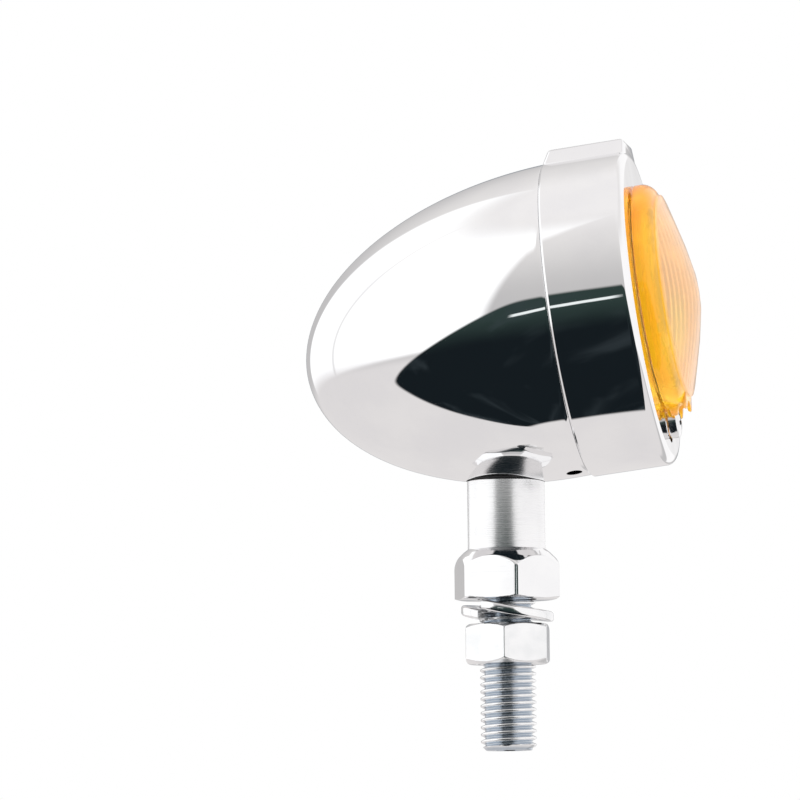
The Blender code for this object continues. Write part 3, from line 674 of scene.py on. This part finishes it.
# The shoulder is (drop below the plain stem, reach) in millimetres.
stem = {
    "radius": 6.8 * mm, "top": 20.95 * mm, "bore": 5.2 * mm, "flats": 17.0 * mm, "height": 8.8 * mm,
    "turn": math.radians(20.0), "corner": 0.12 * mm, "edge": 0.3 * mm,
    "shoulder": ((0, 6.8), (0.6, 7.6), (1.5, 8.5), (2.4, 9.25), (3.3, 9.75), (4.3, 10.05), (20, 10.3)),
}


# How far the collar's top reaches, at a drop below the end of the plain stem.
def collarReach(drop):
    curve = stem["shoulder"]
    for (above, start), (below, end) in zip(curve, curve[1:]):
        if drop < below * mm:
            return (start + (end - start) * (drop / mm - above) / (below - above)) * mm


# A turned stem that grows into a hexagon collar, whose top is rounded off.
def makeStem():
    across = hexagon(stem["flats"], stem["turn"], stem["corner"])
    edge = stem["edge"]

    def radiusAt(radius, turn, height):
        if radius < stem["radius"] - mm:
            return radius
        drop = stem["height"] - height
        limit = collarReach(max(drop, 0))
        if height < edge:
            limit = min(limit, stem["flats"] / 2 + 0.2 * mm + height * 3.5)
        return softMin(across(turn), limit, 0.08 * mm) if drop > 0 else radius

    rows = [stem["height"] * (1 - (i / 70) ** 1.6) for i in range(69)]
    rows += [edge * (1 - i / 8) for i in range(9)]
    outer = [(stem["radius"], height) for height in rows]
    top = [(stem["bore"], stem["top"]), (stem["radius"] - edge, stem["top"])]
    top += [(stem["radius"] - edge + edge * math.sin(t), stem["top"] - edge * (1 - math.cos(t)))
            for t in (math.radians(90 * i / 5) for i in range(1, 6))]
    profile = [*top, *outer, (stem["bore"], 0)]
    made = turned("stemSleeve", profile, 240, None, radiusAt)
    return finishPiece(made, materials["turnedChrome"], "stem", ["stem_sleeve"], 30)


thread = {
    "Crest": 4.9 * mm, "Root": 4.12 * mm, "Pitch": 1.25 * mm, "Bottom": -26.5 * mm, "Top": 26.0 * mm,
    "Threaded": 1.0 * mm, "Chamfer": 0.9 * mm,
}
stud = {"flats": 13 * mm, "headReach": 7 * mm, "headLow": 25.6 * mm, "headTop": 30.1 * mm, "bore": 2.2 * mm,
        "mouth": 2.8 * mm}


# A round bar whose surface follows a screw thread up to a level, with a chamfered end.
def threadTree(material):
    tree = bpy.data.node_groups.new("rolledThread", "GeometryNodeTree")
    net = Net(tree)
    for name in thread:
        tree.interface.new_socket(name, in_out="INPUT", socket_type="NodeSocketFloat")
    tree.interface.new_socket("Geometry", in_out="OUTPUT", socket_type="NodeSocketGeometry")
    given = net.node("NodeGroupInput")
    crest, root, pitch = given.out("Crest"), given.out("Root"), given.out("Pitch")
    length = given.out("Top") - given.out("Bottom")
    rows = net.maths("ROUND", length / pitch * 14.0)
    blank = net.node("GeometryNodeMeshCylinder", {"fill_type": "NGON"}, {
        "Vertices": 72, "Side Segments": rows, "Radius": crest, "Depth": length})
    place = net.node("GeometryNodeInputPosition")
    x, y, z = net.parts(place)
    height = z + (given.out("Top") + given.out("Bottom")) * 0.5
    turn = net.maths("ARCTAN2", y, x) / (2 * math.pi)
    phase = net.maths("FRACT", height / pitch - turn + 100.0)
    slope = 1.0 - net.maths("ABSOLUTE", phase - 0.5) * 2.0
    tooth = net.ease(slope, 0.1, 0.84)
    plain = net.ease(height, given.out("Threaded") - 0.6 * mm, given.out("Threaded"))
    tooth = net.maths("MAXIMUM", tooth, plain)
    reach = root + (crest - root) * tooth
    limit = crest - given.out("Chamfer") + (height - given.out("Bottom"))
    reach = net.maths("MINIMUM", reach, limit)
    share = reach / net.maths("SQRT", x * x + y * y)
    point = net.node("ShaderNodeCombineXYZ", None, {"X": x * share, "Y": y * share, "Z": height})
    moved = net.node("GeometryNodeSetPosition", None, {"Geometry": blank.out("Mesh"), "Position": point})
    real = net.node("GeometryNodeRealizeInstances", None, {"Geometry": moved})
    done = net.node("GeometryNodeSetMaterial", None, {"Geometry": real, "Material": material})
    net.node("NodeGroupOutput", None, {"Geometry": done})
    return tree


# The threaded stud, with a hexagon head at its top and a bore for the leads.
def makeStud():
    made = bpy.data.objects.new("hollowStud", bpy.data.meshes.new("hollowStud"))
    bpy.context.scene.collection.objects.link(made)
    nodeStep(made, threadTree(materials["threadedZinc"]), thread)
    across = hexagon(stud["flats"], 0, 0.3 * mm)
    reach, low, top = stud["headReach"], stud["headLow"], stud["headTop"]
    bolt = turned("tool", [(0, top), (reach, top), (reach, low), (0, low)], 96, None,
                  lambda radius, turn, height: across(turn))
    carve(made, bolt, "UNION")
    carve(made, turned("tool", [(0, 32 * mm), (stud["bore"], 32 * mm), (stud["bore"], -26.0 * mm),
                                (stud["mouth"], -27 * mm), (0, -27 * mm)], 64))
    return finishPiece(made, materials["threadedZinc"], "stem", ["hollow_stud"], 50)


nut = {
    "flats": 14.2 * mm, "height": 7.0 * mm, "top": -4.35 * mm, "turn": math.radians(4.1), "corner": 0.06 * mm,
    "bore": 5.1 * mm, "edge": 6.8 * mm, "chamfer": 0.6 * mm,
}


# A hexagon nut with its corners chamfered at both ends.
def makeNut():
    across = hexagon(nut["flats"], nut["turn"], nut["corner"])
    low = nut["top"] - nut["height"]

    def radiusAt(radius, turn, height):
        if radius < nut["edge"] - mm:
            return radius
        depth = min(nut["top"] - height, height - low)
        return softMin(across(turn), nut["edge"] + depth * 1.75, 0.15 * mm)

    levels = [nut["top"] - nut["height"] * (0.5 - 0.5 * math.cos(math.pi * i / 60)) for i in range(61)]
    bore, chamfer = nut["bore"], nut["chamfer"]
    profile = [(bore, nut["top"] - chamfer), (bore + chamfer, nut["top"]),
               *[(nut["edge"], height) for height in levels], (bore + chamfer, low), (bore, low + chamfer)]
    made = turned("mountingNut", profile, 240, None, radiusAt)
    return finishPiece(made, materials["zincPlate"], "nut", ["mounting_nut"], 30)


washer = {
    "radius": 8.1 * mm, "bore": 5.2 * mm, "thickness": 1.8 * mm, "rise": 1.9 * mm, "lean": (-0.15, 0.05),
    "drop": 0.45 * mm, "split": -119, "opening": 5, "corner": 0.5 * mm, "steps": 160,
}


# A split spring washer, a little askew, of rounded square wire.
def makeWasher():
    inner, outer, thick, corner = washer["bore"], washer["radius"], washer["thickness"], washer["corner"]
    section = []
    for cx, cz, start in ((outer - corner, -corner, 0), (inner + corner, -corner, 90),
                          (inner + corner, corner - thick, 180), (outer - corner, corner - thick, 270)):
        section += [(cx + corner * math.cos(math.radians(start + 22.5 * k)),
                     cz + corner * math.sin(math.radians(start + 22.5 * k))) for k in range(5)]
    start, opening = math.radians(washer["split"]), math.radians(washer["opening"])
    shape = bmesh.new()
    rows = []
    for i in range(washer["steps"] + 1):
        part = i / washer["steps"]
        turn = start + opening / 2 + (2 * math.pi - opening) * part
        level = -washer["drop"] - washer["rise"] * part
        row = []
        for radius, low in section:
            x, y = radius * math.cos(turn), radius * math.sin(turn)
            lean = washer["lean"][0] * x + washer["lean"][1] * y
            row.append(shape.verts.new((x, y, level + lean + low)))
        rows.append(row)
    for first, second in zip(rows, rows[1:]):
        for k in range(len(section)):
            after = (k + 1) % len(section)
            shape.faces.new((first[k], first[after], second[after], second[k]))
    shape.faces.new(rows[0])
    shape.faces.new(rows[-1])
    made = objectFrom("lockWasher", shape)
    return finishPiece(made, materials["zincPlate"], "washer", ["lock_washer"])


gasket = {"low": 20.97 * mm, "high": 21.34 * mm, "bore": 5.3 * mm, "radius": 6.85 * mm, "edge": 0.15 * mm}


def makeGasket():
    low, high, bore, outer = gasket["low"], gasket["high"], gasket["bore"], gasket["radius"]
    profile = rounded([(bore, (low + high) / 2), (bore, high), (outer, high, gasket["edge"]),
                       (outer, low, gasket["edge"]), (bore, low)])
    made = turned("stemGasket", profile, 128)
    return finishPiece(made, materials["blackRubber"], "head", ["stem_gasket"])


makeStem()
makeStud()
makeNut()
makeWasher()
makeGasket()

finishes = {
    "zincPlate": ["reflector_screw_1", "reflector_screw_2", "reflector_screw_3", "shell_screw_1",
                  "shell_screw_2", "socket_shell", "stud_washer"],
    "brassStrip": ["socket_rivet_1", "socket_rivet_2", "earth_tab", "contact_pin", "feed_terminal",
                   "bulb_base", "bulb_pin_1", "bulb_pin_2"],
    "blackRubber": ["wire_grommet"],
    "paleSeal": ["lens_gasket"],
    "blackInsulator": ["socket_insulator", "bulb_insulator"],
    "steelWire": ["contact_spring", "bulb_tip", "filament_support_1", "filament_support_2", "filament"],
    "clearGlass": ["bulb_stem"],
}
for finishName, names in finishes.items():
    for name in names:
        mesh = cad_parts[name].data
        mesh.materials.clear()
        mesh.materials.append(materials[finishName])
print("finishes given to the inner pieces")

studio = {
    "white": (1.16, 1.16, 1.16, 1), "panel": (1.02, 1.01, 1.01, 1), "low": (0.56, 0.55, 0.55, 1),
    "high": (0.82, 0.8, 0.79, 1), "top": (0.93, 0.91, 0.905, 1), "floor": (0.78, 0.755, 0.75, 1),
    "back": (0.3, 0.32, 0.35, 1), "dark": (0.008, 0.012, 0.015, 1), "darkTop": (0.03, 0.05, 0.046, 1),
    "fold": (0.045, 0.058, 0.066, 1), "strip": (0.9, 0.95, 0.95, 1),
}
camera = {
    "azimuth": 9.3, "elevation": 5.09, "roll": -0.62, "distance": 1.159, "right": -0.01883, "up": 0.03502,
    "lens": 297.0,
}


# Grey walls that pale upwards, a white box to the left, a pale panel to the right, a grey bar behind the lamp
# and a dark patch behind the camera. Each is set by its directions, in degrees of azimuth and elevation.
def makeStudio():
    world = bpy.data.worlds.new("studio")
    bpy.context.scene.world = world
    world.use_nodes = True
    net = Net(world.node_tree)
    x, y, z = net.parts(net.node("ShaderNodeTexCoord").out("Generated"))
    degrees = 180 / math.pi
    azimuth = net.maths("ARCTAN2", x, 0 - y) * degrees
    elevation = net.maths("ARCSINE", z) * degrees

    def least(first, *others):
        for other in others:
            first = net.maths("MINIMUM", first, other)
        return first

    def corner(first, second):
        return net.maths("SMOOTH_MIN", first, second, 8.0)

    aside = net.maths("ABSOLUTE", azimuth - 2.0)
    upper = corner(11.5 - elevation, (62.0 - aside) * 0.95 - 28.0 - elevation)
    lower = 62.0 - 0.28 * net.maths("MAXIMUM", 0.0, -28.0 - elevation) - aside
    patch = net.ease(corner(corner(upper, lower), elevation + 83.0), -1.3, 1.0)
    where = net.node("ShaderNodeCombineXYZ", None, {"X": azimuth * 0.05, "Y": elevation * 0.03, "Z": 0.0})
    folds = net.node("ShaderNodeTexNoise", None, {"Vector": where, "Scale": 1.0, "Detail": 3.0,
                                                   "Distortion": 0.8}).out("Fac")
    dark = net.mix(net.ease(elevation + 10.0 * folds, -12.0, 10.0), studio["dark"], studio["darkTop"])
    dark = net.mix(net.ease(folds, 0.5, 0.72) * 0.5, dark, studio["fold"])
    strip = net.ease(net.maths("ABSOLUTE", elevation - 2.5 - 0.15 * (azimuth + 12.0)), 1.2, 0.6)
    strip = strip * net.ease(net.maths("ABSOLUTE", azimuth + 10.0), 8.0, 6.0)
    dark = net.mix(strip, dark, studio["strip"])
    wall = net.mix(net.ease(elevation, 12.0, 58.0), studio["low"], studio["high"])
    box = least(azimuth + 138.0, -25.0 - azimuth, elevation + 12.0, (60.0 - elevation) * 0.3)
    box = net.maths("MINIMUM", box, net.maths("ABSOLUTE", azimuth + 96.0) - 0.3)
    panel = least(azimuth - 27.0, 175.0 - azimuth, elevation + 20.0, (48.0 - elevation) * 0.15)
    panel = net.maths("MINIMUM", panel, net.maths("ABSOLUTE", azimuth - 125.0) - 0.3)
    bright = net.ease(panel, -2.0, 2.0)
    wall = net.mix(net.ease(elevation, 50.0, 72.0), wall, studio["top"])
    room = net.mix(bright, wall, studio["panel"])
    room = net.mix(net.ease(box, -2.0, 2.0), room, studio["white"])
    away = net.maths("ABSOLUTE", net.maths("ABSOLUTE", azimuth - camera["azimuth"]) - 180.0)
    away = away + net.maths("ABSOLUTE", elevation - 5.0) * 0.7
    room = net.mix(net.ease(away, 15.0, 7.0), room, studio["back"])
    ground = net.ease(elevation + 0.1 * (azimuth + 60.0), -8.0, -18.0)
    room = net.mix(ground, room, studio["floor"])
    seen = net.mix(patch, room, dark)
    direct = net.node("ShaderNodeLightPath").out("Is Camera Ray")
    colour = net.mix(direct, seen, (1, 1, 1, 1))
    background = net.node("ShaderNodeBackground", None, {"Color": colour, "Strength": 1.0})
    net.node("ShaderNodeOutputWorld", None, {"Surface": background})


def makeFloor():
    shape = bmesh.new()
    level = Matrix.Translation((0, 0, -0.13))
    bmesh.ops.create_circle(shape, cap_ends=True, segments=96, radius=6.0, matrix=level)
    floor = objectFrom("floor", shape)
    material, net = newMaterial("paleFloor")
    speckle = grain(net, placeOn(net), 6.0, 3.0)
    colour = net.mix(speckle, (0.88, 0.88, 0.88, 1), (0.93, 0.93, 0.925, 1))
    surface(net, {"Base Color": colour, "Roughness": 0.8})
    floor.data.materials.append(material)
    floor.visible_glossy = False


def makeLight(name, azimuth, elevation, distance, size, power):
    a, e = math.radians(azimuth), math.radians(elevation)
    away = Vector((math.sin(a) * math.cos(e), -math.cos(a) * math.cos(e), math.sin(e)))
    data = bpy.data.lights.new(name, "AREA")
    data.size = size
    data.energy = power
    light = bpy.data.objects.new(name, data)
    light.location = Vector((0, 0, 0.04)) + away * distance
    light.rotation_euler = away.to_track_quat("Z", "Y").to_euler()
    light.visible_glossy = False
    bpy.context.scene.collection.objects.link(light)


# Looks up at the lamp from a little below it and to its right.
def makeCamera():
    a, e = math.radians(camera["azimuth"]), math.radians(camera["elevation"])
    away = Vector((math.sin(a) * math.cos(e), -math.cos(a) * math.cos(e), -math.sin(e)))
    level = Vector((math.cos(a), math.sin(a), 0))
    upright = Vector((math.sin(a) * math.sin(e), -math.cos(a) * math.sin(e), math.cos(e)))
    c, s = math.cos(math.radians(camera["roll"])), math.sin(math.radians(camera["roll"]))
    right = c * level + s * upright
    up = -s * level + c * upright
    data = bpy.data.cameras.new("camera")
    data.lens = camera["lens"]
    data.sensor_width = 36.0
    data.clip_start = 0.01
    data.clip_end = 50.0
    made = bpy.data.objects.new("camera", data)
    made.matrix_world = Matrix((right, up, away)).transposed().to_4x4()
    made.location = away * camera["distance"] + right * camera["right"] + up * camera["up"]
    bpy.context.scene.collection.objects.link(made)
    bpy.context.scene.camera = made


makeStudio()
makeFloor()
makeLight("softboxLeft", -70, 45, 0.9, 0.7, 6.0)
makeLight("softboxTop", 30, 75, 0.9, 0.8, 5.0)
makeCamera()
bpy.context.scene.view_settings.view_transform = "Standard"
print("studio and camera ready")
